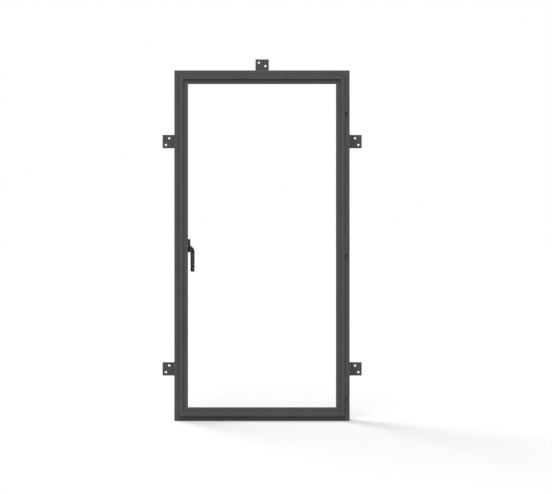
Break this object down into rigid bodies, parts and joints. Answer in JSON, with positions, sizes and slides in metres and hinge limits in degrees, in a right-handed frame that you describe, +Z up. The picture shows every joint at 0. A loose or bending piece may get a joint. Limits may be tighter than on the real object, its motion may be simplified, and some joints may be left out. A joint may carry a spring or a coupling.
{
  "type": "steel casement window",
  "caption": "Tall side-hung steel casement window with its frame: glazed outward-opening sash, barrel hinges, cranked handle with locking rod, and wall fixing lugs.",
  "frame": {"origin": "middle of the frame's underside, at mid-depth of the frame with its room-side stop", "axes": "+Z up along the frame's height, X along its width, +Y towards the room side with the handle"},
  "size_m": [0.9184, 0.1118, 1.6592],
  "materials": {
    "frame_paint": "matt dark grey paint on steel",
    "handle_paint": "matt darker grey paint on steel",
    "zinc_steel": "zinc plated",
    "seal_rubber": "black seal rubber",
    "glass": "clear float glass",
    "spacer_aluminium": "mill finish",
    "washer_brass": "plain",
    "block_plastic": "moulded",
    "guide_nylon": "natural nylon"
  },
  "bodies": {
    "frame": {"frame_head": "frame_paint", "frame_sill": "frame_paint", "frame_jamb_left": "frame_paint", "frame_jamb_right": "frame_paint", "stop_head": "frame_paint", "stop_sill": "frame_paint", "stop_left": "frame_paint", "stop_right": "frame_paint", "weather_seal": "seal_rubber", "lug_top": "frame_paint", "lug_left_upper": "frame_paint", "lug_left_lower": "frame_paint", "lug_right_upper": "frame_paint", "lug_right_lower": "frame_paint", "lug_screws": "zinc_steel", "hinge_frame_bottom": "frame_paint", "hinge_frame_middle": "frame_paint", "hinge_frame_top": "frame_paint", "hinge_pin_bottom": "zinc_steel", "hinge_pin_middle": "zinc_steel", "hinge_pin_top": "zinc_steel", "hinge_washer_bottom": "washer_brass", "hinge_washer_middle": "washer_brass", "hinge_washer_top": "washer_brass", "keeps": "zinc_steel", "keep_screws": "zinc_steel"},
    "sash": {"sash_top": "frame_paint", "sash_bottom": "frame_paint", "sash_stile_left": "frame_paint", "sash_stile_right": "frame_paint", "lip_top": "frame_paint", "lip_bottom": "frame_paint", "lip_left": "frame_paint", "lip_right": "frame_paint", "lip_seal": "seal_rubber", "hinge_sash_bottom": "frame_paint", "hinge_sash_middle": "frame_paint", "hinge_sash_top": "frame_paint", "bead_top": "frame_paint", "bead_bottom": "frame_paint", "bead_left": "frame_paint", "bead_right": "frame_paint", "bead_screws": "zinc_steel", "pane_inner": "glass", "pane_outer": "glass", "glass_spacer": "spacer_aluminium", "edge_sealant": "seal_rubber", "gasket_inner": "seal_rubber", "gasket_outer": "seal_rubber", "setting_blocks": "block_plastic", "handle_rose": "handle_paint", "rose_screws": "handle_paint", "case_plate": "handle_paint", "rod_guides": "guide_nylon"},
    "handle": {"handle_lever": "handle_paint", "handle_spindle": "zinc_steel", "drive_pinion": "zinc_steel"},
    "lock_rod": {"drive_rod": "zinc_steel", "lock_rollers": "zinc_steel"}
  },
  "joints": [
    {"name": "sash_swing", "type": "hinge", "parent": "frame", "child": "sash", "pos_m": [0.3838, -0.0343, 0.8], "axis": [0, 0, 1], "range_deg": [0, 110]},
    {"name": "handle_turn", "type": "hinge", "parent": "sash", "child": "handle", "pos_m": [-0.3445, 0.03, 0.7984], "axis": [0, -1, 0], "range_deg": [0, 90]},
    {"name": "rod_slide", "type": "slide", "parent": "sash", "child": "lock_rod", "axis": [0, 0, -1], "range_m": [0, 0.01022]}
  ],
  "couplings": [
    {"joint": "rod_slide", "follows": "handle_turn", "m_per_rad": 0.0065}
  ]
}
